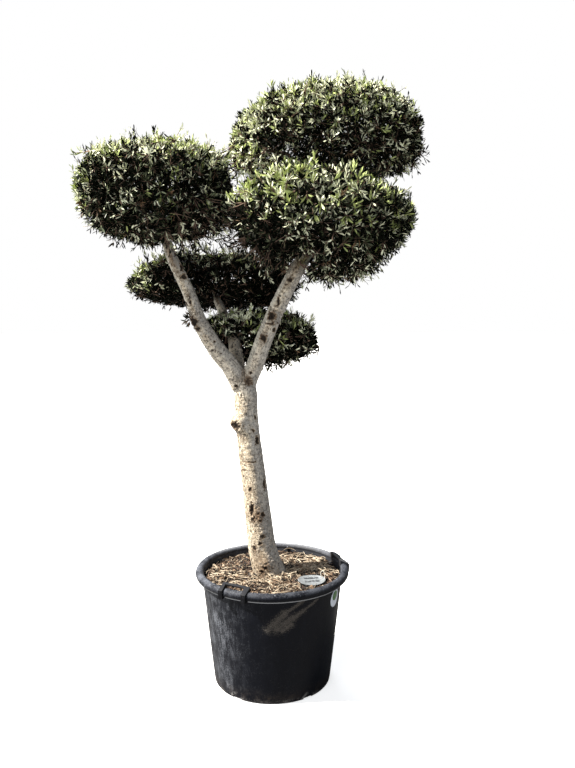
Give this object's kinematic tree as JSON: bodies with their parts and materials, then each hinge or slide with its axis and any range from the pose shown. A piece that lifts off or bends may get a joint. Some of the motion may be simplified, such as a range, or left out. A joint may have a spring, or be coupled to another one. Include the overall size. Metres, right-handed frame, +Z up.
{
  "type": "potted olive pompon topiary",
  "caption": "Olive tree trained as a pompon topiary, with clipped foliage balls on bare boughs, standing in a round black nursery pot with a rolled rim.",
  "frame": {"origin": "centre of the pot's flat underside, on the ground", "axes": "+Z up along the pot's axis; -Y is the side first seen, with +X to its right and the lower foliage leaning to -X"},
  "size_m": [1.3491, 1.059, 2.3641],
  "materials": {
    "pot_plastic": "satin black moulded plastic, dusty on the rim",
    "soil": "damp potting soil",
    "mulch": "dry straw and bark chips",
    "tag_plastic": "weathered white card with a plastic skin",
    "bark": "smooth pale olive bark with specks, cracks and pruning scars",
    "foliage": "small leathery olive leaves, grey-green with paler undersides"
  },
  "bodies": {
    "root": {"pot": "pot_plastic", "grip_front": "pot_plastic", "grip_side": "pot_plastic", "soil": "soil", "mulch": "mulch", "plant_tag": "tag_plastic", "trunk": "bark", "bough_left": "bark", "bough_right": "bark", "bough_middle": "bark", "bough_top": "bark", "foliage_left": "foliage", "foliage_top": "foliage", "foliage_front": "foliage", "foliage_low_left": "foliage", "foliage_low_right": "foliage"}
  },
  "joints": []
}
